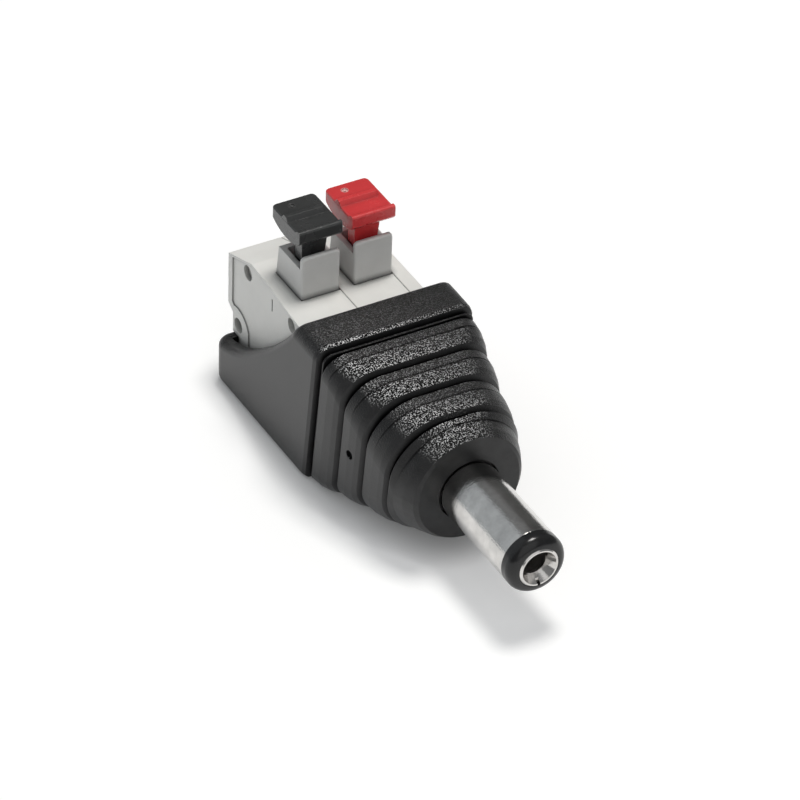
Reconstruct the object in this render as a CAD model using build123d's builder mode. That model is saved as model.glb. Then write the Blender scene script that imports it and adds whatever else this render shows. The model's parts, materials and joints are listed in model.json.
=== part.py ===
from build123d import *
import os

os.makedirs("parts", exist_ok=True)

# Frame: millimetres, +Z up. The plug's barrel lies on the Y axis and points to -Y; the origin is on
# that axis, just in front of the boot's nose. +X is the red pole.

fit = 0.05                 # gap between pieces that seat on each other

# ---- plug ----
barrel_r = 2.75            # 5.5 mm sleeve
nose = 1.5                 # flat front of the boot, where the barrel comes out
sleeve_length = 10.18      # bright part, from the nose to the sleeve's front edge
sleeve_wall = 0.4
root_r = 2.4               # drawn-down root of the sleeve, held by the moulded core
root_length = 2.95
tip_straight = 0.62        # black tip: straight part, then its rounding
tip_round = 0.85
pin_hole_r = 1.05          # 2.1 mm centre hole
contact_wall = 0.4
rim_r = 1.84               # rolled rim of the centre contact
tip_land = 0.11            # flat of the tip round the rim
tip_face_r = rim_r + tip_land
rim_proud = 0.12
rim_depth = 0.52
rim_round = 0.12
rim_lip = 0.24
funnel_r = rim_r - rim_lip
funnel_depth = 0.92
slit_width = 0.28
slit_length = 0.45
insulator_tail = 1.0       # how far each inner piece reaches past the one round it
contact_tail = 0.9
lug_seat = 0.15            # step behind the sleeve's solder lug

# ---- moulded core ----
mouth_r = 2.87             # hole in the nose round the sleeve
mouth_depth = 0.7
neck_r = 3.5
neck_length = 0.7
flange_r = 4.3
core_gap = 0.06

# ---- solder lugs and leads ----
lug_thick = 0.4
lug_top = 0.9              # upper face of every flat lug and busbar tail
lug_width = 1.1
lug_length = 5.6
lug_x = 2.4                # middle of each tongue, left and right
washer_overlap = 0.3
lead_r = 0.7
lead_front = 6.1           # from the boot's nose
lead_length = 8.8
lead_room = (3.7, -2.9, 3.1)     # half width, floor and roof of the lead channel

# ---- boot ----
pitch = 5.08               # between the two poles
wall = 1.3                 # side wall of one pole module, and the end plate
block_half = (2 * pitch + wall) / 2
band_wall = 1.85           # the band outside the block
band_half = block_half + band_wall
band_foot = 6.7            # underside, below the barrel's axis
band_over = 1.5            # the band's top above the terminal block's
band_corner = 1.3
band_foot_corner = 0.7
band_edge = nose + 13.9
band_length = 1.8
band_joint = band_edge + band_length
band_round = 0.6
lean = 0.12                # the band and rings lean towards the nose by this slope
groove_depth = 0.8
rib_low = 0.42             # fine rib in the groove between the band and the first ring
rib_width = 0.22
tray_floor_thick = 1.0
tray_rear_wall = 1.25
tray_corner = 1.5
rim_fillet = 0.6
pit = (8.3, 0.3, 0.42)     # moulding pit on a ring's left side: y from the nose, z, radius
pit_depth = 0.3

# ---- terminal block ----
block_front = band_joint - 0.15
block_length = 16.85
block_back = block_front + block_length
block_top = 6.7
block_bottom = tray_floor_thick - band_foot + fit
slope_length = 4.15
crease = block_back - slope_length       # the top slopes down from here to the back
slope_drop = 1.45
undercut = 0.9
undercut_z = 0.1
undercut_low = -0.5
seat_z = -2.45             # the block rests over the tray's rear wall here
undercut_length = 2.0
seat_back = block_back - undercut_length
flare = 0.58               # the left cheek grows by this towards the boot
flare_rear = 4.3
flare_front = 2.95
flare_start = block_back - flare_rear
flare_end = block_front + flare_front
front_wall = 2.35
cavity_front = block_front + front_wall
back_wall = 3.1
cavity_back = block_back - back_wall
cavity_floor = block_bottom + 0.75
roof = 1.1
cavity_roof = block_top - roof
peg_r = 0.72
peg_length = 0.45
pegs = ((block_back - 3.34, block_top - 1.5), (block_back - 1.9, -1.3),
        (block_front + 4.65, block_top - 1.1))    # y, z of the joining pegs
panel_depth = 0.12         # shallow panel on the outer cheek
panel_edge = 0.2
panel_rear = 0.7
seam = 0.07                # broken edge where two modules meet
mark_y = block_front + 8.75      # upright slot on the cheek
mark_z = block_top - 1.75
mark_height = 1.3
mark_width = 0.16
entry_z = 2.2
entry_r = 1.25
entry_mouth_r = 1.65
entry_mouth = 1.2
tray_back = block_back - 0.7
band_top = block_top + band_over

# ---- lever guides ----
guide_half = 1.83
guide_front = block_front + 6.1
guide_length = 4.2
guide_back = guide_front + guide_length
guide_foot = 0.4           # the back wall slopes out to its foot
guide_wall = 0.5
guide_side_height = 3.0
guide_front_height = 4.23
guide_side_top = block_top + guide_side_height
guide_front_top = block_top + guide_front_height
guide_flange = 0.4

# ---- levers ----
pivot_y = guide_front + 1.6
pivot_z = block_top - 2.3
hub_r = 0.9
hub_half = 1.25
trunnion_r = 0.7
trunnion_length = 0.5
run = 0.05                 # running clearance round the trunnions
stem_half = 1.25
stem_waist = 0.9           # right edge of the stem where it passes the guide
stem_thick = 1.2
stem_front = pivot_y - 0.4
pad_half = 2.06
pad_length = 5.15
pad_front = pivot_y - 1.45
pad_top = block_top + 6.9
pad_corner = 0.45
pad_edge = 0.2
lip_length = 0.4
lip_low = 0.2              # the tread lies this much below the front lip
tread_length = 1.7
ridge_length = 1.15
ridge_high = 0.4
ridge_left = 2.06
ridge_right = 1.5
pad_thick = 1.05
gate_x = -0.57             # moulding gate on each pad, from the lever's middle
gate_y = 4.2
gate_r = 0.28
gate_depth = 0.1
prong_x = 1.025
prong_width = 0.45

# ---- clamps ----
strip = 0.3
spring_half = 1.6
spring_foot = cavity_back - 1.4
bar_half = 0.6
bar_low = 3.0
bar_thick = 0.4
bar_front = cavity_front + 0.6
tail_front = block_front - 3.15


def section(y, shape, inset=0.0):
    """Rounded outline across the plug at y, leaning towards the nose."""
    half, top, foot, r_top, r_foot, slope = shape
    x, high, low = half - inset, top - inset, foot - inset
    face = Face(Wire.make_polygon(((-x, -low, 0), (x, -low, 0), (x, high, 0), (-x, high, 0)), close=True))
    face = face.fillet_2d(max(r_top - inset, fit), face.vertices().group_by(Axis.Y)[-1])
    face = face.fillet_2d(max(r_foot - inset, fit), face.vertices().group_by(Axis.Y)[0])
    return Plane(origin=(0, y, 0), x_dir=(1, 0, 0), z_dir=(0, -1, -slope)).location * face


def between(first, second, part):
    return tuple(a + (b - a) * part for a, b in zip(first, second))


# Outline of the boot from band to nose: half width, top, foot, upper and lower corner radius, lean.
at_tray = (band_half, band_top, band_foot, band_corner, band_foot_corner, 0.0)
at_band = at_tray[:5] + (lean,)
ring_1_in, ring_1_down, ring_1_up = 0.14, 0.35, 0.1
ring_2_in, ring_2_down, ring_2_up = 0.62, 0.97, 0.5
ring_3_in, ring_3_down, ring_3_up = 1.08, 1.58, 0.7
nose_in, nose_down, nose_up = 1.42, 2.08, 0.83
at_ring_1 = (band_half - ring_1_in, band_top - ring_1_down, band_foot - ring_1_up, 2.1, 1.4, lean)
at_ring_2 = (band_half - ring_2_in, band_top - ring_2_down, band_foot - ring_2_up, 3.3, 2.4, lean)
at_ring_3 = (band_half - ring_3_in, band_top - ring_3_down, band_foot - ring_3_up, 4.5, 3.7, lean)
at_nose = (band_half - nose_in, band_top - nose_down, band_foot - nose_up, 5.3, 5.1, lean)
ring_rears = (13.05, 9.65, 6.35)       # from the boot's nose
ring_fronts = (10.05, 6.75, 3.25)
# One ring from its rear edge to its front: how far along, and how much of the fall is done.
ring_crown = ((0.36, 0.12), (0.7, 0.42), (0.9, 0.75))
nose_rear = 2.85
# Rounded nose: y from its face, radius, lean.
nose_round = ((2.3, 5.97, lean), (1.3, 5.63, lean), (0.3, 5.15, lean / 2), (0, 4.8, 0))


def ring_sections():
    """Outlines from the band to the nose's face: crowned rings with narrow grooves between them."""
    found = [section(band_joint, at_tray)]
    for back, inset in ((1.0, 0), (0.3, 0.2), (0.0, 1.0)):
        found.append(section(band_edge + band_round * back, at_band, band_round * inset))
    rib = band_edge - 2 * fit
    for step, inset in ((0, groove_depth), (0.16, groove_depth), (0.18, rib_low), (0.18 + rib_width, rib_low)):
        found.append(section(rib - step, at_band, inset))
    previous, edge = at_band, rib - 0.18 - rib_width
    rings = zip(ring_rears, ring_fronts, (at_ring_1, at_ring_2, at_ring_3), (at_ring_2, at_ring_3, at_nose))
    for rear, front, size, next_size in rings:
        found.append(section(edge - fit, previous, groove_depth + fit))
        found.append(section(nose + rear + fit, size, groove_depth))
        found.append(section(nose + rear, size))
        for along, fall in ring_crown:
            found.append(section(nose + rear + (front - rear) * along, between(size, next_size, fall)))
        found.append(section(nose + front, next_size, band_round * 0.4))
        previous, edge = next_size, nose + front
    found.append(section(edge - fit, at_nose, groove_depth))
    found.append(section(nose + nose_rear + fit, at_nose, groove_depth))
    found.append(section(nose + nose_rear, at_nose))
    for y, r, slope in nose_round:
        found.append(section(nose + y, (r, r, r, r - fit, r - fit, slope)))
    return found


# Soft moulded boot: open tray for the block behind, ringed strain-relief nose in front.
with BuildPart() as boot:
    loft(ring_sections(), ruled=True)
    # tray behind the band
    extrude(section(tray_back, at_tray), amount=tray_back - band_joint)
    rear_uprights = edges().filter_by(Axis.Z).group_by(Axis.Y)[-1]
    fillet(rear_uprights, tray_corner)
    # side scoops and open top
    scoop_line = [(block_front + y, z) for y, z in (
        (1.45, band_top), (2.15, block_top + 0.4), (3.75, block_top - 1.5), (6.35, block_top - 4.05),
        (7.95, block_top - 5.35), (10.95, seat_z + 1.6), (13.35, seat_z + 0.45))]
    scoop_end = (tray_back, seat_z - fit)
    with BuildSketch(Plane.YZ.offset(-band_half - 1)):
        with BuildLine():
            Spline(*scoop_line, (tray_back - 1.4, seat_z + fit), scoop_end)
            Polyline(scoop_end, (tray_back + 1, seat_z - fit), (tray_back + 1, band_top + 1),
                     (scoop_line[0][0], band_top + 1), scoop_line[0])
        make_face()
    extrude(amount=2 * band_half + 2, mode=Mode.SUBTRACT)
    scoop = faces().filter_by(GeomType.EXTRUSION).sort_by(SortBy.AREA)[-1]
    fillet(scoop.edges().filter_by(lambda e: e.center().Y > band_joint + 2), rim_fillet)
    # seat for the block
    left, right = -block_half - flare - fit, block_half + fit
    seat_length = seat_back + fit - (block_front - fit)
    with BuildSketch(Plane.XY.offset(block_bottom - fit)):
        with Locations(((left + right) / 2, block_front - fit + seat_length / 2)):
            Rectangle(right - left, seat_length)
    extrude(amount=block_top - block_bottom + 2 * fit, mode=Mode.SUBTRACT)
    # channel for the leads
    half, low, high = lead_room
    with BuildSketch(Plane.XZ.offset(-nose - root_length)):
        with Locations((0, (low + high) / 2)):
            Rectangle(2 * half, high - low)
    extrude(amount=-(block_front - nose - root_length), mode=Mode.SUBTRACT)
    # moulding pit
    pit_y, pit_z, pit_r = pit
    with BuildSketch(Plane.YZ.offset(-at_ring_2[0])):
        with Locations((nose + pit_y, pit_z)):
            Circle(pit_r)
    extrude(amount=pit_depth, mode=Mode.SUBTRACT)
    # mouth round the sleeve, then the bore for the moulded core
    neck_front = nose + mouth_depth
    flange_front = neck_front + neck_length
    with BuildSketch(Plane.XZ.offset(-nose)):
        Circle(mouth_r)
    extrude(amount=-mouth_depth, mode=Mode.SUBTRACT)
    with BuildSketch(Plane.XZ.offset(-neck_front)):
        Circle(neck_r)
    extrude(amount=-neck_length, mode=Mode.SUBTRACT)
    with BuildSketch(Plane.XZ.offset(-flange_front)):
        Circle(flange_r)
    extrude(amount=-(nose + root_length + fit - flange_front), mode=Mode.SUBTRACT)
boot.part.label = "boot"

# Premoulded core on the barrel's root: neck behind the boot's mouth, anchoring flange behind it.
root_back = nose + root_length
with BuildPart() as plug_core:
    with BuildSketch(Plane.XY):
        with BuildLine():
            core_r, core_flange_r = neck_r - core_gap, flange_r - core_gap
            Polyline((root_r, neck_front + core_gap), (core_r, neck_front + core_gap),
                     (core_r, flange_front + core_gap), (core_flange_r, flange_front + core_gap),
                     (core_flange_r, root_back), (root_r, root_back), close=True)
        make_face()
    revolve(axis=Axis.Y)
plug_core.part.label = "plug_core"

# Plated outer contact: thin tube with a turned-down root.
with BuildPart() as barrel_sleeve:
    with BuildSketch(Plane.XY):
        with BuildLine():
            liner_r, root_liner_r = barrel_r - sleeve_wall, root_r - sleeve_wall
            sleeve_front, root_front = nose - sleeve_length, nose - fit
            step = root_front - sleeve_wall
            Polyline((liner_r, sleeve_front), (barrel_r, sleeve_front), (barrel_r, root_front),
                     (root_r, root_front), (root_r, root_back), (root_liner_r, root_back),
                     (root_liner_r, step), (liner_r, step), close=True)
        make_face()
    revolve(axis=Axis.Y)
barrel_sleeve.part.label = "barrel_sleeve"

# Black insulator between the contacts; its rounded head closes the sleeve's front.
contact_r = pin_hole_r + contact_wall
tip_edge = sleeve_front - tip_straight
tip_front = tip_edge - tip_round
insulator_back = root_back + insulator_tail
contact_front = tip_front - rim_proud
contact_back = insulator_back + contact_tail
with BuildPart() as barrel_insulator:
    with BuildSketch(Plane.XY):
        with BuildLine():
            Polyline((contact_r, insulator_back), (root_liner_r - lug_seat, insulator_back),
                     (root_liner_r - lug_seat, root_back + lug_thick), (root_liner_r, root_back + lug_thick),
                     (root_liner_r, step), (liner_r, step), (liner_r, sleeve_front),
                     (barrel_r, sleeve_front), (barrel_r, tip_edge))
            ThreePointArc((barrel_r, tip_edge), (barrel_r - 0.2, tip_edge - 0.52), (tip_face_r, tip_front))
            Polyline((tip_face_r, tip_front), (rim_r + fit / 2, tip_front),
                     (rim_r + fit / 2, contact_front + rim_depth), (contact_r, contact_front + rim_depth),
                     (contact_r, insulator_back))
        make_face()
    revolve(axis=Axis.Y)
barrel_insulator.part.label = "barrel_insulator"

# Centre contact: rolled tube with a flared, rolled-over rim and one slit below.
with BuildPart() as centre_contact:
    with BuildSketch(Plane.XY):
        with BuildLine():
            Polyline((pin_hole_r, contact_back), (contact_r, contact_back),
                     (contact_r, contact_front + rim_depth), (rim_r, contact_front + rim_depth),
                     (rim_r, contact_front + rim_round), (rim_r - rim_round, contact_front),
                     (funnel_r, contact_front), (pin_hole_r, contact_front + funnel_depth), close=True)
        make_face()
    revolve(axis=Axis.Y)
    with BuildSketch(Plane.XZ.offset(-contact_front)):
        with Locations((0, -(pin_hole_r + rim_r) / 2)):
            Rectangle(slit_width, rim_r)
    extrude(amount=-slit_length, mode=Mode.SUBTRACT)
centre_contact.part.label = "centre_contact"

# Solder lugs: a washer on each contact's back end with a flat tongue to the rear.
with BuildPart() as sleeve_lug:
    with BuildSketch(Plane.XZ.offset(-root_back)):
        Circle(root_r + fit)
        Circle(root_liner_r, mode=Mode.SUBTRACT)
    extrude(amount=-lug_thick)
    with BuildSketch(Plane.XY.offset(lug_top - lug_thick)):
        with Locations((-lug_x, root_back + lug_thick + lug_length / 2)):
            Rectangle(lug_width, lug_length)
    extrude(amount=lug_thick)
    with BuildSketch(Plane.XZ.offset(-root_back)):
        with Locations((-lug_x, lug_top - lug_thick / 2)):
            Rectangle(lug_width, lug_thick)
        Circle(root_liner_r, mode=Mode.SUBTRACT)
    extrude(amount=-lug_thick)
sleeve_lug.part.label = "sleeve_lug"

with BuildPart() as centre_lug:
    with BuildSketch(Plane.XZ.offset(-insulator_back)):
        Circle(contact_r + washer_overlap)
        Circle(contact_r, mode=Mode.SUBTRACT)
    extrude(amount=-lug_thick)
    tongue_right = lug_x + lug_width / 2
    with BuildSketch(Plane.XY.offset(lug_top - lug_thick)):
        with Locations((tongue_right / 2 + contact_r / 2, insulator_back + lug_width / 2)):
            Rectangle(tongue_right - contact_r, lug_width)
        with Locations((lug_x, insulator_back + lug_length / 2 - lug_width / 2)):
            Rectangle(lug_width, lug_length - lug_width)
    extrude(amount=lug_thick)
    with BuildSketch(Plane.XZ.offset(-insulator_back)):
        Circle(contact_r)
    extrude(amount=-contact_tail, mode=Mode.SUBTRACT)
centre_lug.part.label = "centre_lug"

# Two short insulated leads lie on the lugs and on the busbar tails.
leads = []
for name, start_x, end_x in (("lead_black", -lug_x, -pitch / 2), ("lead_red", lug_x, pitch / 2)):
    start = Vector(start_x, nose + lead_front, lug_top + lead_r)
    end = Vector(end_x, nose + lead_front + lead_length, lug_top + lead_r)
    with BuildPart() as lead:
        with BuildSketch(Plane(origin=start, z_dir=end - start)):
            Circle(lead_r)
        extrude(amount=(end - start).length)
    lead.part.label = name
    leads.append(lead.part)

poles = (("black", -pitch / 2), ("red", pitch / 2))
# Side view of the block: y, z. Pole modules and end plate share it.
block_outline = ((block_front, block_bottom), (seat_back, block_bottom), (seat_back, seat_z),
                 (block_back - undercut, seat_z), (block_back - undercut, undercut_low),
                 (block_back, undercut_z), (block_back, block_top - slope_drop), (crease, block_top),
                 (block_front, block_top))


def cheek_line(left, depth):
    """Outer face of the left cheek from above, set in by depth."""
    face = left + depth
    run_in = flare_start - flare_end
    return ((face, block_back + 1), (face, flare_start), (face - flare * 0.2, flare_start - run_in / 3),
            (face - flare * 0.85, flare_end + run_in * 0.19), (face - flare, flare_end),
            (face - flare, block_front))


# Shallow panel of the outer cheek: the strip outside its sunk face, within the panel's outline.
with BuildPart() as panel:
    with BuildSketch(Plane.XY.offset(block_bottom)):
        with BuildLine():
            Polyline(*cheek_line(-block_half, panel_depth), (-band_half, block_front),
                     (-band_half, block_back + 1), close=True)
        make_face()
    extrude(amount=block_top - block_bottom)
    panel_top = block_top - panel_edge
    panel_back = block_back - panel_rear
    boss_y, boss_z = pegs[1]
    with BuildSketch(Plane.YZ.offset(-band_half)):
        with BuildLine():
            Polyline((block_front, panel_top), (crease, panel_top), (panel_back, block_top - slope_drop),
                     (panel_back, undercut_z + 0.5), (panel_back - 0.3, undercut_z + 0.2))
            ThreePointArc((panel_back - 0.3, undercut_z + 0.2), (boss_y - 1.1, boss_z + 1.2),
                          (boss_y - 1.8, boss_z + 0.2))
            Polyline((boss_y - 1.8, boss_z + 0.2), (boss_y - 1.9, block_bottom),
                     (block_front, block_bottom), (block_front, panel_top))
        make_face()
    extrude(amount=2 * band_half, mode=Mode.INTERSECT)


def seam_edges(part, places):
    """Top edges of a module that lie on the given x planes."""
    tops = part.edges().filter_by(lambda e: e.center().Z > block_top - slope_drop and
                                  abs(e.tangent_at(0.5).X) < 0.01)
    return [e for e in tops if any(abs(e.center().X - x) < 0.01 for x in places)]


# Pole modules: side cheek on the left, rim round an open right side, sloped top at the back.
housings = []
for name, centre in poles:
    left = centre - pitch / 2 - wall / 2
    right = centre + pitch / 2 - wall / 2
    outer = left - (flare if name == "black" else 0)
    with BuildPart() as housing:
        with BuildSketch(Plane.YZ.offset(left)):
            with BuildLine():
                Polyline(*block_outline, close=True)
            make_face()
        extrude(amount=right - left)
        if name == "black":
            # the outer cheek thickens towards the boot
            with BuildSketch(Plane.XY.offset(block_bottom)):
                with BuildLine():
                    Polyline(*cheek_line(left, 0)[1:], (left + wall / 2, block_front),
                             (left + wall / 2, flare_start), close=True)
                make_face()
            extrude(amount=block_top - block_bottom)
            add(panel.part, mode=Mode.SUBTRACT)
            # upright slot
            with BuildSketch(Plane.YZ.offset(outer)):
                with Locations((mark_y, mark_z)):
                    Rectangle(mark_width, mark_height)
            extrude(amount=flare + 2 * panel_depth, mode=Mode.SUBTRACT)
        # broken top edges where the modules meet
        chamfer(seam_edges(housing.part, [right] if name == "black" else [left, right]), seam)
        # clamp chamber, open to the right
        with BuildSketch(Plane.YZ.offset(left + wall)):
            with Locations(((cavity_front + cavity_back) / 2, (cavity_floor + cavity_roof) / 2)):
                Rectangle(cavity_back - cavity_front, cavity_roof - cavity_floor)
        extrude(amount=pitch, mode=Mode.SUBTRACT)
        # opening in the top for the grey lever guide
        opening = guide_back + guide_foot - guide_front + 2 * fit
        with BuildSketch(Plane.XY.offset(cavity_roof)):
            with Locations((centre, guide_front + opening / 2 - fit)):
                Rectangle(pitch - wall, opening)
        extrude(amount=roof, mode=Mode.SUBTRACT)
        # wire entry with a funnel mouth
        with BuildSketch(Plane.XZ.offset(-cavity_back)):
            with Locations((centre, entry_z)):
                Circle(entry_r)
        extrude(amount=-back_wall, mode=Mode.SUBTRACT)
        with BuildSketch(Plane.XZ.offset(entry_mouth - block_back)):
            with Locations((centre, entry_z)):
                Circle(entry_r)
        with BuildSketch(Plane.XZ.offset(-block_back)):
            with Locations((centre, entry_z)):
                Circle(entry_mouth_r)
        loft(mode=Mode.SUBTRACT)
        # slot for the busbar's tail
        with BuildSketch(Plane.XZ.offset(-block_front)):
            with Locations((centre, lug_top - bar_thick / 2)):
                Rectangle(2 * bar_half + 2 * fit, bar_thick + 2 * fit)
        extrude(amount=-(cavity_front - block_front), mode=Mode.SUBTRACT)
        # trunnion sockets: one in this module's cheek, one in the back of the next module's
        socket_faces = [(left + wall, -1)] + ([(left, 1)] if name == "red" else [])
        for face_x, way in socket_faces:
            with BuildSketch(Plane.YZ.offset(face_x)):
                with Locations((pivot_y, pivot_z)):
                    Circle(trunnion_r + run)
            extrude(amount=way * (trunnion_length + fit), mode=Mode.SUBTRACT)
        # round sockets on the cheek, joining pegs on the open side
        with BuildSketch(Plane.YZ.offset(outer)):
            with Locations(*pegs):
                Circle(peg_r)
        extrude(amount=left + peg_length + 2 * fit - outer, mode=Mode.SUBTRACT)
        with BuildSketch(Plane.YZ.offset(right)):
            with Locations(*pegs):
                Circle(peg_r - fit)
        extrude(amount=peg_length)
    housing.part.label = "housing_" + name
    housings.append(housing.part)

# End plate closes the red module's open side.
with BuildPart() as end_plate:
    plate_left = block_half - wall
    with BuildSketch(Plane.YZ.offset(plate_left)):
        with BuildLine():
            Polyline(*block_outline, close=True)
        make_face()
    extrude(amount=wall)
    chamfer(seam_edges(end_plate.part, [plate_left]), seam)
    with BuildSketch(Plane.YZ.offset(plate_left)):
        with Locations(*pegs):
            Circle(peg_r)
    extrude(amount=peg_length + 2 * fit, mode=Mode.SUBTRACT)
    with BuildSketch(Plane.YZ.offset(plate_left)):
        with Locations((pivot_y, pivot_z)):
            Circle(trunnion_r + run)
    extrude(amount=trunnion_length + fit, mode=Mode.SUBTRACT)
end_plate.part.label = "end_plate"

guides, levers, springs, busbars = [], [], [], []
for name, centre in poles:
    # Grey guide: tall front wall, lower sides and back, hollow for the stem, flange under the roof.
    guide_low = cavity_roof - guide_flange
    with BuildPart() as guide:
        with BuildSketch(Plane.YZ.offset(centre - guide_half)):
            with BuildLine():
                Polyline((guide_front, guide_low), (guide_back + guide_foot, guide_low),
                         (guide_back + guide_foot, block_top), (guide_back, guide_side_top),
                         (guide_front + guide_wall, guide_side_top),
                         (guide_front + guide_wall, guide_front_top), (guide_front, guide_front_top),
                         close=True)
            make_face()
        extrude(amount=2 * guide_half)
        fillet(edges().filter_by(Axis.Y).filter_by(lambda e: e.center().Z > guide_side_top + 0.5), 0.4)
        front_uprights = edges().filter_by(Axis.Z).group_by(Axis.Y)[0].filter_by(
            lambda e: e.length > guide_front_height / 2)
        fillet(front_uprights, 0.22)
        chamfer(faces().sort_by(Axis.Z)[-1].edges().filter_by(Axis.X), 0.12)
        with BuildSketch(Plane.XY.offset(guide_low)):
            with Locations((centre, (guide_front + guide_back + guide_foot) / 2)):
                Rectangle(2 * guide_half, guide_length + guide_foot + 2 * guide_flange)
        extrude(amount=guide_flange)
        front, back = guide_front + guide_wall, guide_back - guide_wall
        with BuildSketch(Plane.XY.offset(guide_low)):
            with Locations((centre, (front + back) / 2)):
                RectangleRounded(2 * (guide_half - guide_wall), back - front, guide_wall / 2)
        extrude(amount=guide_front_top - guide_low, mode=Mode.SUBTRACT)
    guide.part.label = "guide_" + name
    guides.append(guide.part)

    # Lever: thumb pad with lip, tread and ridge, tapering stem, hub on two trunnions, two prongs.
    tread = pad_top - lip_low
    lip_back = pad_front + lip_length
    ridge_front = lip_back + tread_length
    ridge_back = ridge_front + ridge_length
    pad_back = pad_front + pad_length
    low = pad_top - pad_thick
    with BuildPart() as lever:
        with BuildSketch(Plane.YZ.offset(centre - pad_half)):
            with BuildLine():
                Polyline((pad_back, tread), (lip_back + 0.25, tread), (lip_back, pad_top),
                         (pad_front, pad_top), (pad_front, low), (pad_front + 0.3, low - 0.35))
                Spline((pad_front + 0.3, low - 0.35), (pivot_y + 0.25, low - 0.75),
                       (pad_back - 0.65, low - 0.35), (pad_back, low + 0.05))
                Line((pad_back, low + 0.05), (pad_back, tread))
            make_face()
        extrude(amount=2 * pad_half)
        fillet(edges().filter_by(Axis.Z).group_by(Axis.Y)[-1], pad_corner)
        chamfer(faces().sort_by(Axis.Y)[-1].edges().group_by(Axis.Z)[-1], pad_edge / 2)
        fillet(edges().filter_by(Axis.X).group_by(Axis.Z)[-1], pad_edge)
        # raised ridge across the pad
        with BuildSketch(Plane.YZ.offset(centre - ridge_left)):
            with BuildLine():
                Polyline((ridge_front, tread - fit), (ridge_front + 0.35, tread + ridge_high),
                         (ridge_back - 0.4, tread + ridge_high), (ridge_back, tread - fit), close=True)
            make_face()
        extrude(amount=ridge_left + ridge_right)
        # moulding gate
        with BuildSketch(Plane.XY.offset(tread)):
            with Locations((centre + gate_x, pad_front + gate_y)):
                Circle(gate_r)
                Circle(gate_r / 2, mode=Mode.SUBTRACT)
        extrude(amount=-gate_depth, mode=Mode.SUBTRACT)
        # stem
        with BuildSketch(Plane.XZ.offset(-stem_front)):
            with BuildLine():
                Polyline((centre - stem_half, low), (centre - stem_half, pivot_z),
                         (centre + stem_waist, pivot_z), (centre + stem_waist, guide_side_top),
                         (centre + stem_half, low), close=True)
            make_face()
        extrude(amount=-stem_thick)
        # hub and trunnions
        for reach, r in ((hub_half, hub_r), ((pitch - wall) / 2 + trunnion_length, trunnion_r)):
            with BuildSketch(Plane.YZ.offset(centre - reach)):
                with Locations((pivot_y, pivot_z)):
                    Circle(r)
            extrude(amount=2 * reach)
        # prongs over the spring
        for side in (-1, 1):
            with BuildSketch(Plane.YZ.offset(centre + side * prong_x - prong_width / 2)):
                with BuildLine():
                    Polyline((pivot_y + 0.6, pivot_z + 0.5), (pivot_y + 0.1, pivot_z - hub_r + fit),
                             (pivot_y + 2.15, bar_low - fit), (pivot_y + 2.55, bar_low),
                             (pivot_y + 2.55, bar_low + 0.6), close=True)
                make_face()
            extrude(amount=prong_width)
    lever.part.label = "lever_" + name
    levers.append(lever.part)

    # Clamp spring: bent steel strip, foot on the chamber floor, tongue up against the busbar.
    with BuildPart() as spring:
        bend_y = cavity_back - 0.45
        with BuildSketch(Plane.YZ.offset(centre - spring_half)):
            with BuildLine():
                foot_z = cavity_floor + strip / 2
                Polyline((cavity_front + 1.2, foot_z), (spring_foot, foot_z), (bend_y, cavity_floor + 1.1),
                         (bend_y, entry_z - 2.8), (bend_y - 0.45, entry_z - 1.95),
                         (pivot_y + 1.55, bar_low - strip / 2 - 0.04))
            trace(line_width=strip)
        extrude(amount=2 * spring_half)
    spring.part.label = "clamp_spring_" + name
    springs.append(spring.part)

    # Busbar: clamping plate over the wire, step down, tail out to the lead.
    with BuildPart() as busbar:
        with BuildSketch(Plane.YZ.offset(centre - bar_half)):
            with BuildLine():
                Polyline((bar_front, bar_low + bar_thick), (cavity_back, bar_low + bar_thick),
                         (cavity_back, bar_low), (bar_front + bar_thick, bar_low),
                         (bar_front + bar_thick, lug_top - bar_thick), (tail_front, lug_top - bar_thick),
                         (tail_front, lug_top), (bar_front, lug_top), close=True)
            make_face()
        extrude(amount=2 * bar_half)
    busbar.part.label = "busbar_" + name
    busbars.append(busbar.part)

single = [boot.part, plug_core.part, barrel_sleeve.part, barrel_insulator.part, centre_contact.part,
          sleeve_lug.part, centre_lug.part, end_plate.part]
for piece in single + leads + housings + guides + levers + springs + busbars:
    export_step(piece, "parts/" + piece.label + ".step")
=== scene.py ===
import json
import math
import bpy
from mathutils import Euler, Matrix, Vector

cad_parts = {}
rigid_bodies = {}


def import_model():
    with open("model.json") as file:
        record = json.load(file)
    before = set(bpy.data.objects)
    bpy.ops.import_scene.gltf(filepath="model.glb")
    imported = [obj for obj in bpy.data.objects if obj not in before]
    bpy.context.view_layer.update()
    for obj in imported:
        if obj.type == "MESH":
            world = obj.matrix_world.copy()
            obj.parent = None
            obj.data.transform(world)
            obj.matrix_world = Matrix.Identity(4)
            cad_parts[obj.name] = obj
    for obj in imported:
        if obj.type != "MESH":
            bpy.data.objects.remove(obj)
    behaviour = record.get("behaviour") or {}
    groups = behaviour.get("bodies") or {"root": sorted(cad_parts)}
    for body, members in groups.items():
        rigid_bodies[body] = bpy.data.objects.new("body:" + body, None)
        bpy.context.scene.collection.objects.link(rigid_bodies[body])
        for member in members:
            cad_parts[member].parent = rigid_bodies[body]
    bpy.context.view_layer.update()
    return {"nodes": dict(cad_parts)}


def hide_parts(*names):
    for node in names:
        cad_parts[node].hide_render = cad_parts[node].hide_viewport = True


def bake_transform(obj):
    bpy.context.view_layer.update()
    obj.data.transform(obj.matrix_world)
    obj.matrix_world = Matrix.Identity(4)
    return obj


for stray in list(bpy.data.objects):
    bpy.data.objects.remove(stray)
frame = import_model()
nodes = frame["nodes"]
bpy.ops.object.select_all(action="DESELECT")
MM = 0.001


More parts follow.
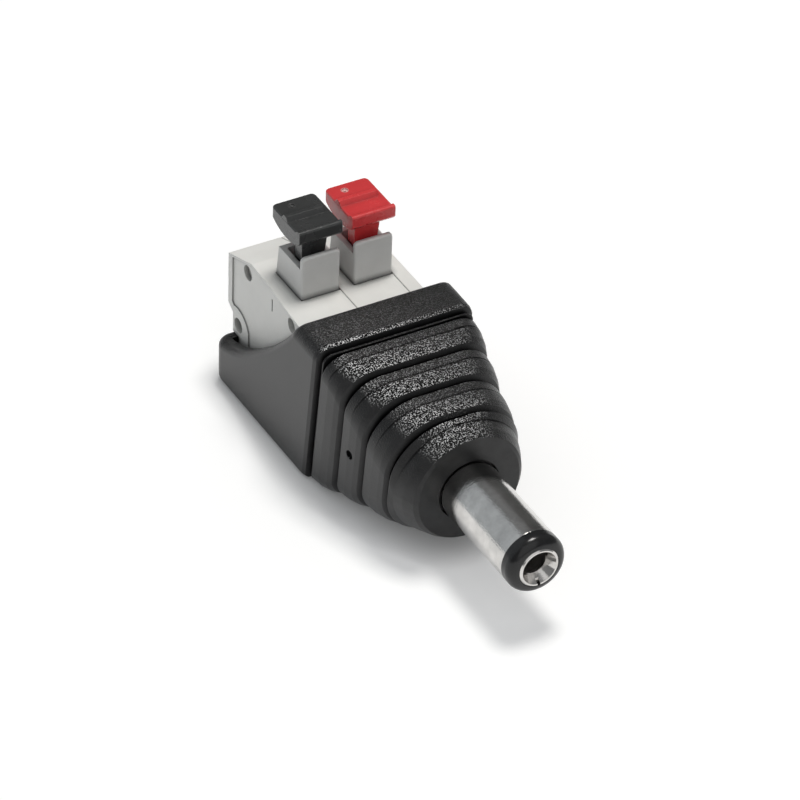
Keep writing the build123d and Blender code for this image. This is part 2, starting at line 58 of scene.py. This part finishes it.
# Boot: black vinyl moulded over the plug's core, with a ringed nose that flexes.
# The mould's fine spark texture is a bump; the glints on each ring's upper left front are painted highlight
# specks; each ring has a fine witness line.
# Painted shade darkens the crevices between the rings, the witness lines and the ring tops, but not the
# nose's flat face.
def shader_tree(name):
    made = bpy.data.materials.new(name)
    made.use_nodes = True
    tree = made.node_tree
    return made, tree, tree.nodes["Principled BSDF"]


def math_node(tree, operation, first, second=None, third=None, clamp=False):
    node = tree.nodes.new("ShaderNodeMath")
    node.operation = operation
    node.use_clamp = clamp
    for socket, value in zip(node.inputs, (first, second, third)):
        if value is None:
            continue
        if isinstance(value, (int, float)):
            socket.default_value = value
        else:
            tree.links.new(value, socket)
    return node.outputs[0]


def ramp(tree, value, zero_at, one_at):
    steep = 1.0 / (one_at - zero_at)
    return math_node(tree, "MULTIPLY_ADD", value, steep, -zero_at * steep, clamp=True)


def noise_node(tree, where, scale, detail=2.0, roughness=0.5):
    node = tree.nodes.new("ShaderNodeTexNoise")
    node.inputs["Scale"].default_value = scale
    node.inputs["Detail"].default_value = detail
    node.inputs["Roughness"].default_value = roughness
    tree.links.new(where, node.inputs["Vector"])
    return node.outputs["Fac"]


def tint(tree, factor, low, high, low_at=0.35, high_at=0.65):
    ramp = tree.nodes.new("ShaderNodeValToRGB")
    ramp.color_ramp.elements[0].position = low_at
    ramp.color_ramp.elements[1].position = high_at
    ramp.color_ramp.elements[0].color = (*low, 1)
    ramp.color_ramp.elements[1].color = (*high, 1)
    tree.links.new(factor, ramp.inputs["Fac"])
    return ramp.outputs["Color"]


def shaded(tree, colour, grey):
    mix = tree.nodes.new("ShaderNodeMix")
    mix.data_type = "RGBA"
    mix.blend_type = "MULTIPLY"
    mix.inputs["Factor"].default_value = 1.0
    tree.links.new(colour, mix.inputs["A"])
    tree.links.new(grey, mix.inputs["B"])
    return mix.outputs["Result"]


def relief(tree, shader, height, distance, strength=1.0, edge=0.0):
    bump = tree.nodes.new("ShaderNodeBump")
    bump.inputs["Strength"].default_value = strength
    bump.inputs["Distance"].default_value = distance
    tree.links.new(height, bump.inputs["Height"])
    if edge:
        rounded = tree.nodes.new("ShaderNodeBevel")
        rounded.samples = 8
        rounded.inputs["Radius"].default_value = edge
        tree.links.new(rounded.outputs["Normal"], bump.inputs["Normal"])
    tree.links.new(bump.outputs["Normal"], shader.inputs["Normal"])


def dress(material, *names):
    for name in names:
        mesh = nodes[name].data
        mesh.materials.clear()
        mesh.materials.append(material)


boot_black = (0.012, 0.012, 0.0125)
boot_worn = (0.021, 0.021, 0.022)
glint_highlight_pale = (0.74, 0.74, 0.745)
glint_toward_lamp = (-0.13, -0.34, 0.93)
ring_lean = 0.12
witness_lines = [y * MM for y in (13.5, 10.1, 6.75, 3.7)]
witness_width = 0.14 * MM
nose_face_y = 2.2 * MM
nose_face_soft = 0.5 * MM
crevice_depth = 0.8 * MM
upward_turn = (0.15625, 0.78125)
glint_turn = (0.80909, 0.99091)
glint_front = (0.0375, -0.2125)
glint_side = (10.4 * MM, -2.9333 * MM)
spark_scale = 8600.0
glint_noise = (0.546875, 0.609375)
pit_noise = (0.530769, 0.453846)
cloud_scale = 700.0
grain_depth = 0.1 * MM
boot_edge = 0.12 * MM
vinyl, tree, shader = shader_tree("boot_vinyl")
place = tree.nodes.new("ShaderNodeTexCoord").outputs["Object"]
split = tree.nodes.new("ShaderNodeSeparateXYZ")
tree.links.new(place, split.inputs[0])
along = math_node(tree, "MULTIPLY_ADD", split.outputs["Z"], ring_lean, split.outputs["Y"])
line = 0.0
for y in witness_lines:
    near = math_node(tree, "ABSOLUTE", math_node(tree, "SUBTRACT", along, y))
    near = ramp(tree, near, witness_width, 0.0)
    line = math_node(tree, "ADD", line, near)
face = tree.nodes.new("ShaderNodeNewGeometry")
facing = tree.nodes.new("ShaderNodeSeparateXYZ")
tree.links.new(face.outputs["Normal"], facing.inputs[0])
upward = ramp(tree, facing.outputs["Z"], *upward_turn)
line = math_node(tree, "MULTIPLY", line, upward)
# Painted shade: ambient occlusion darkens the colour and specular in the crevices between the rings.
crevice_painted_shade = tree.nodes.new("ShaderNodeAmbientOcclusion")
crevice_painted_shade.samples = 6
crevice_painted_shade.inputs["Distance"].default_value = crevice_depth
painted_shade_factor = math_node(tree, "POWER", crevice_painted_shade.outputs["AO"], 1.7)
# The painted shade is lifted on the nose's flat face.
nose_face = ramp(tree, split.outputs["Y"], nose_face_y, nose_face_y - nose_face_soft)
painted_shade_factor = math_node(tree, "MAXIMUM", painted_shade_factor, math_node(tree, "MULTIPLY", nose_face, 0.9))
# The witness lines are real creases, given as bump below; their dark colour is painted shade.
painted_shade_factor = math_node(tree, "MULTIPLY", painted_shade_factor, math_node(tree, "MULTIPLY_ADD", line, -0.95, 1.0))
# Painted highlight: pale glint specks where a face turns toward the overhead lamp, on the front and left.
glint_facing = tree.nodes.new("ShaderNodeVectorMath")
glint_facing.operation = "DOT_PRODUCT"
glint_facing.inputs[1].default_value = glint_toward_lamp
tree.links.new(face.outputs["Normal"], glint_facing.inputs[0])
glint_zone = ramp(tree, glint_facing.outputs["Value"], *glint_turn)
for slope in (ramp(tree, facing.outputs["Y"], *glint_front),
              ramp(tree, split.outputs["X"], *glint_side), painted_shade_factor):
    glint_zone = math_node(tree, "MULTIPLY", glint_zone, slope)
specks = noise_node(tree, place, spark_scale, 1.0, 0.6)
painted_glint = math_node(tree, "MULTIPLY", glint_zone, ramp(tree, specks, *glint_noise))
# Painted shade: the pits between the glint specks are painted darker.
pits = math_node(tree, "MULTIPLY", glint_zone, ramp(tree, specks, *pit_noise))
shade = math_node(tree, "MULTIPLY", painted_shade_factor, math_node(tree, "MULTIPLY_ADD", pits, -0.9, 1.0))
cloud = noise_node(tree, place, cloud_scale, 3.0)
# Painted shade: upward faces are painted darker than the sides.
base = math_node(tree, "MULTIPLY", shade, math_node(tree, "MULTIPLY_ADD", upward, -0.6, 1.0))
blend = tree.nodes.new("ShaderNodeMix")
blend.data_type = "RGBA"
tree.links.new(painted_glint, blend.inputs["Factor"])
tree.links.new(shaded(tree, tint(tree, cloud, boot_black, boot_worn), base), blend.inputs["A"])
blend.inputs["B"].default_value = (*glint_highlight_pale, 1)
tree.links.new(blend.outputs["Result"], shader.inputs["Base Color"])
tree.links.new(math_node(tree, "MULTIPLY", shade, 0.37), shader.inputs["Specular IOR Level"])
tree.links.new(math_node(tree, "MULTIPLY_ADD", cloud, 0.12, 0.27), shader.inputs["Roughness"])
grain = math_node(tree, "MULTIPLY", specks, math_node(tree, "ADD", upward, 0.1))
grain = math_node(tree, "SUBTRACT", grain, line)
relief(tree, shader, grain, grain_depth, 1.0, boot_edge)
dress(vinyl, "boot")

# Moulded core: the harder black plastic under the boot that anchors the barrel's root.
# Only a hair of its front shows inside the boot's mouth.
core_plastic, tree, shader = shader_tree("core_plastic")
place = tree.nodes.new("ShaderNodeTexCoord").outputs["Object"]
shader.inputs["Roughness"].default_value = 0.42
tree.links.new(tint(tree, noise_node(tree, place, 900.0), (0.014, 0.014, 0.015), (0.02, 0.02, 0.021)),
               shader.inputs["Base Color"])
relief(tree, shader, noise_node(tree, place, 4000.0), 0.02 * MM, 0.4)
dress(core_plastic, "plug_core")


# Barrel sleeve: drawn brass tube, polished and bright nickel plated.
# Drawing leaves faint lines along it, and handling leaves a few dull spots.
def drawn_metal(name, dark, light, dull, stretch, depth):
    rubbed_edge = 0.07 * MM
    made, tree, shader = shader_tree(name)
    shader.inputs["Metallic"].default_value = 1.0
    place = tree.nodes.new("ShaderNodeTexCoord").outputs["Object"]
    longer = tree.nodes.new("ShaderNodeMapping")
    longer.inputs["Scale"].default_value = stretch
    tree.links.new(place, longer.inputs["Vector"])
    streak = noise_node(tree, longer.outputs["Vector"], 2600.0, 3.0)
    patch = noise_node(tree, place, 500.0, 4.0, 0.6)
    pits = noise_node(tree, place, 8200.0, 1.0)
    tree.links.new(tint(tree, patch, dark, light), shader.inputs["Base Color"])
    tree.links.new(math_node(tree, "MULTIPLY_ADD", patch, 0.16, dull), shader.inputs["Roughness"])
    relief(tree, shader, math_node(tree, "MULTIPLY_ADD", pits, 0.9, streak), depth, 0.45, rubbed_edge)
    return made


nickel = drawn_metal("nickel_plate", (0.54, 0.53, 0.515), (0.73, 0.715, 0.695), 0.04,
                     (1.0, 0.12, 1.0), 0.03 * MM)
dress(nickel, "barrel_sleeve")

# Barrel tip and liner: glossy black thermoplastic head that insulates the two contacts.
# Its rounded lip guides the plug into the socket.
tip_plastic, tree, shader = shader_tree("tip_plastic")
place = tree.nodes.new("ShaderNodeTexCoord").outputs["Object"]
shader.inputs["Specular IOR Level"].default_value = 0.42
patch = noise_node(tree, place, 1200.0, 3.0)
tree.links.new(tint(tree, patch, (0.008, 0.008, 0.0085), (0.013, 0.013, 0.0135)), shader.inputs["Base Color"])
tree.links.new(math_node(tree, "MULTIPLY_ADD", patch, 0.16, 0.14), shader.inputs["Roughness"])
relief(tree, shader, patch, 0.01 * MM, 0.3)
dress(tip_plastic, "barrel_insulator")

# Centre contact: rolled, plated tube whose flared rim is rolled over the tip.
# It is bright at the rim and duller inside.
bright_to, dull_from = -9.7 * MM, -8.8 * MM
contact = drawn_metal("contact_plate", (0.56, 0.55, 0.53), (0.74, 0.72, 0.7), 0.06,
                      (1.0, 0.3, 1.0), 0.012 * MM)
tree = contact.node_tree
shader = tree.nodes["Principled BSDF"]
split = tree.nodes.new("ShaderNodeSeparateXYZ")
tree.links.new(tree.nodes.new("ShaderNodeTexCoord").outputs["Object"], split.inputs[0])
inside = ramp(tree, split.outputs["Y"], bright_to, dull_from)
polish = shader.inputs["Roughness"].links[0].from_socket
tree.links.new(math_node(tree, "MULTIPLY_ADD", inside, 0.2, polish), shader.inputs["Roughness"])
dress(contact, "centre_contact")

# Solder lugs and busbars: stamped brass strip with matt tin plate, hidden inside.
tin = drawn_metal("tin_plate", (0.58, 0.57, 0.55), (0.7, 0.69, 0.66), 0.26, (1.0, 0.3, 1.0), 0.01 * MM)
dress(tin, "sleeve_lug", "centre_lug", "busbar_black", "busbar_red")

# Clamp springs: bent strips of bright stainless spring steel inside the chambers.
# The lever's prongs press each tongue down, which bends it; here each spring is a welded copy cut finer with
# bend_cuts, in place of the hidden CAD spring.
bend_cuts = 7
weld = 0.0001 * MM
steel = drawn_metal("spring_steel", (0.5, 0.5, 0.5), (0.62, 0.62, 0.62), 0.2, (0.2, 1.0, 1.0), 0.01 * MM)
dress(steel, "clamp_spring_black", "clamp_spring_red")
for pole in ("black", "red"):
    spring = bpy.data.objects.new("bending_spring_" + pole, nodes["clamp_spring_" + pole].data.copy())
    bpy.context.collection.objects.link(spring)
    bpy.ops.object.select_all(action="DESELECT")
    bpy.context.view_layer.objects.active = spring
    spring.select_set(True)
    bpy.ops.object.mode_set(mode="EDIT")
    bpy.ops.mesh.select_all(action="SELECT")
    bpy.ops.mesh.remove_doubles(threshold=weld)
    bpy.ops.mesh.subdivide(number_cuts=bend_cuts)
    bpy.ops.object.mode_set(mode="OBJECT")
    spring.select_set(False)
    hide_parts("clamp_spring_" + pole)
    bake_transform(spring)


# Leads: two short insulated wires between the lugs and the busbars, hidden inside the boot.
def moulded(name, colour, spread, shine, grain_scale, depth, edge, specular=0.5):
    corner_depth = 0.7 * MM
    made, tree, shader = shader_tree(name)
    shader.inputs["Specular IOR Level"].default_value = specular
    place = tree.nodes.new("ShaderNodeTexCoord").outputs["Object"]
    cloud = noise_node(tree, place, 450.0, 4.0, 0.55)
    low = [c * (1 - spread) for c in colour]
    high = [min(c * (1 + spread), 1.0) for c in colour]
    # Painted shade: ambient occlusion darkens the colour in corners, hollows and sockets.
    hollow_painted_shade = tree.nodes.new("ShaderNodeAmbientOcclusion")
    hollow_painted_shade.samples = 6
    hollow_painted_shade.inputs["Distance"].default_value = corner_depth
    painted_shade_factor = math_node(tree, "POWER", hollow_painted_shade.outputs["AO"], 1.4)
    surface = shaded(tree, tint(tree, cloud, low, high), painted_shade_factor)
    # Painted highlight: rounded edges are painted lighter where the bevel normal turns away, outside the
    # painted shade.
    if edge:
        rounded = tree.nodes.new("ShaderNodeBevel")
        rounded.samples = 8
        rounded.inputs["Radius"].default_value = edge
        turned = tree.nodes.new("ShaderNodeVectorMath")
        turned.operation = "DOT_PRODUCT"
        tree.links.new(rounded.outputs["Normal"], turned.inputs[0])
        tree.links.new(tree.nodes.new("ShaderNodeNewGeometry").outputs["Normal"], turned.inputs[1])
        edge_highlight = ramp(tree, turned.outputs["Value"], 0.971429, 0.685714)
        outside_shade = ramp(tree, painted_shade_factor, 0.6, 1.0)
        edge_highlight = math_node(tree, "MULTIPLY", edge_highlight, outside_shade)
        edge_highlight_mix = tree.nodes.new("ShaderNodeMix")
        edge_highlight_mix.data_type = "RGBA"
        tree.links.new(edge_highlight, edge_highlight_mix.inputs["Factor"])
        tree.links.new(surface, edge_highlight_mix.inputs["A"])
        edge_highlight_mix.inputs["B"].default_value = (*[min(c * 1.25 + 0.035, 0.84) for c in colour], 1)
        surface = edge_highlight_mix.outputs["Result"]
    tree.links.new(surface, shader.inputs["Base Color"])
    tree.links.new(math_node(tree, "MULTIPLY_ADD", cloud, 0.16, shine - 0.08), shader.inputs["Roughness"])
    relief(tree, shader, noise_node(tree, place, grain_scale, 2.0), depth, 0.5, edge)
    return made


dress(moulded("lead_black_vinyl", (0.02, 0.02, 0.02), 0.1, 0.4, 2500.0, 0.02 * MM, 0.0), "lead_black")
dress(moulded("lead_red_vinyl", (0.42, 0.02, 0.02), 0.1, 0.4, 2500.0, 0.02 * MM, 0.0), "lead_red")

# Pole modules and end plate: off-white polyamide, injection moulded, satin.
# They snap together side by side, so fine seams run over the top.
polyamide = moulded("block_polyamide", (0.79, 0.785, 0.755), 0.02, 0.5, 2200.0, 0.018 * MM, 0.09 * MM)
dress(polyamide, "housing_black", "housing_red", "end_plate")

# Lever guides: grey polyamide boxes that stand in the block's top round each lever's stem.
guide_grey = moulded("guide_polyamide", (0.6, 0.598, 0.585), 0.03, 0.42, 2600.0, 0.02 * MM, 0.1 * MM)
dress(guide_grey, "guide_black", "guide_red")

# Levers: polyamide, one black and one red, with a thumb pad, a grip ridge and a gate mark,
# which is painted as a small pale disc: partly stress-whitened plastic, partly a painted highlight.
gate_off_middle, gate_y, gate_z = -0.57 * MM, 27.5 * MM, 13.4 * MM
gate_r = 0.378 * MM
gate_soft = 0.14 * MM
for name, middle, colour, pale in (
    ("lever_black", -2.54 * MM, (0.036, 0.037, 0.037), (0.075, 0.075, 0.075)),
    ("lever_red", 2.54 * MM, (0.64, 0.043, 0.047), (0.85, 0.5, 0.48)),
):
    made = moulded(name + "_polyamide", colour, 0.06, 0.26, 3000.0, 0.02 * MM, 0.09 * MM, 0.6)
    tree = made.node_tree
    shader = tree.nodes["Principled BSDF"]
    away = tree.nodes.new("ShaderNodeVectorMath")
    away.operation = "DISTANCE"
    away.inputs[1].default_value = (middle + gate_off_middle, gate_y, gate_z)
    tree.links.new(tree.nodes.new("ShaderNodeTexCoord").outputs["Object"], away.inputs[0])
    # Pale disc at the gate: stress-whitening and painted highlight together.
    gate_whitening_and_highlight = ramp(tree, away.outputs["Value"], gate_r, gate_r - gate_soft)
    blend = tree.nodes.new("ShaderNodeMix")
    blend.data_type = "RGBA"
    tree.links.new(gate_whitening_and_highlight, blend.inputs["Factor"])
    tree.links.new(shader.inputs["Base Color"].links[0].from_socket, blend.inputs["A"])
    blend.inputs["B"].default_value = (*pale, 1)
    tree.links.new(blend.outputs["Result"], shader.inputs["Base Color"])
    dress(made, name)

# Floor: a white photo table, lifted a little to plain white for the camera; it keeps the shadow.
# Where the object shuts it in, close to the contact, the lift fades by ambient occlusion, which paints a
# darker contact shadow there.
table_top = -6.7 * MM
shut_in_reach = 2.8 * MM
table_lift = 0.3
bpy.ops.object.select_all(action="DESELECT")
bpy.ops.mesh.primitive_plane_add(size=3.0, location=(0, 0, table_top))
floor = bpy.context.object
floor.name = "photo_table"
table, tree, shader = shader_tree("photo_table_white")
place = tree.nodes.new("ShaderNodeTexCoord").outputs["Object"]
tree.links.new(tint(tree, noise_node(tree, place, 3.0), (0.8, 0.8, 0.8), (0.82, 0.82, 0.82)),
               shader.inputs["Base Color"])
shader.inputs["Roughness"].default_value = 0.9
path = tree.nodes.new("ShaderNodeLightPath")
seen = math_node(tree, "ADD", path.outputs["Is Camera Ray"], path.outputs["Is Glossy Ray"])
seen = math_node(tree, "ADD", seen, path.outputs["Is Transmission Ray"], clamp=True)
contact_shadow_occlusion = tree.nodes.new("ShaderNodeAmbientOcclusion")
contact_shadow_occlusion.samples = 8
contact_shadow_occlusion.inputs["Distance"].default_value = shut_in_reach
open_floor = math_node(tree, "POWER", contact_shadow_occlusion.outputs["AO"], 2.7)
open_floor = math_node(tree, "MULTIPLY_ADD", open_floor, 0.75, 0.25)
lift = math_node(tree, "MULTIPLY", math_node(tree, "MULTIPLY", seen, open_floor), table_lift)
tree.links.new(lift, shader.inputs["Emission Strength"])
shader.inputs["Emission Color"].default_value = (1, 1, 1, 1)
floor.data.materials.append(table)

# Room: dim even surroundings and three softboxes. One is overhead towards the right, a wide pale one
# behind on the left fills the left side and shows in the polished barrel, and one stands in front.
world = bpy.data.worlds.new("studio")
bpy.context.scene.world = world
world.use_nodes = True
world.node_tree.nodes["Background"].inputs["Color"].default_value = (0.96, 0.98, 1.0, 1)
world.node_tree.nodes["Background"].inputs["Strength"].default_value = 0.22


def lamp(name, place, aim, size, power, colour):
    data = bpy.data.lights.new(name, "AREA")
    data.shape = "SQUARE"
    data.size = size
    data.energy = power
    data.color = colour
    lit = bpy.data.objects.new(name, data)
    bpy.context.collection.objects.link(lit)
    lit.location = place
    lit.rotation_euler = (Vector(aim) - Vector(place)).to_track_quat("-Z", "Y").to_euler()
    return lit


boot_middle = (0, 0.012, 0)
lamp("overhead_softbox", (0.084, 0.066, 0.5), boot_middle, 0.14, 1.52, (1.0, 0.985, 0.955))
lamp("left_softbox", (-0.45, 0.35, 0.3), boot_middle, 0.9, 0.71, (0.86, 0.945, 1.0))
lamp("front_softbox", (-0.12, -0.52, 0.42), boot_middle, 0.8, 1.15, (1.0, 1.0, 1.0))

# Dark card behind on the right: only the barrel's polish sees it.
bpy.ops.object.select_all(action="DESELECT")
bpy.ops.mesh.primitive_plane_add(size=0.3, location=(0.24, 0.3, 0.14))
card = bpy.context.object
card.name = "dark_card"
card.rotation_euler = (Vector((0, 0, 0)) - card.location).to_track_quat("Z", "Y").to_euler()
for ray in ("camera", "diffuse", "transmission", "volume_scatter", "shadow"):
    setattr(card, "visible_" + ray, False)
card_black, tree, shader = shader_tree("card_black")
place = tree.nodes.new("ShaderNodeTexCoord").outputs["Object"]
shader.inputs["Roughness"].default_value = 0.9
tree.links.new(tint(tree, noise_node(tree, place, 20.0), (0.1, 0.1, 0.1), (0.14, 0.14, 0.14)),
               shader.inputs["Base Color"])
card.data.materials.append(card_black)

# Camera: far and narrow, at the photo's height and side.
lens = bpy.data.cameras.new("camera")
lens.lens = 270.0
lens.sensor_width = 36.0
lens.clip_start = 0.01
camera = bpy.data.objects.new("camera", lens)
bpy.context.collection.objects.link(camera)
camera.location = (-0.200639, -0.336230, 0.307169)
camera.rotation_euler = Euler([math.radians(a) for a in (52.7929, -1.3924, -28.7829)])
bpy.context.scene.camera = camera
bpy.context.scene.view_settings.view_transform = "Standard"
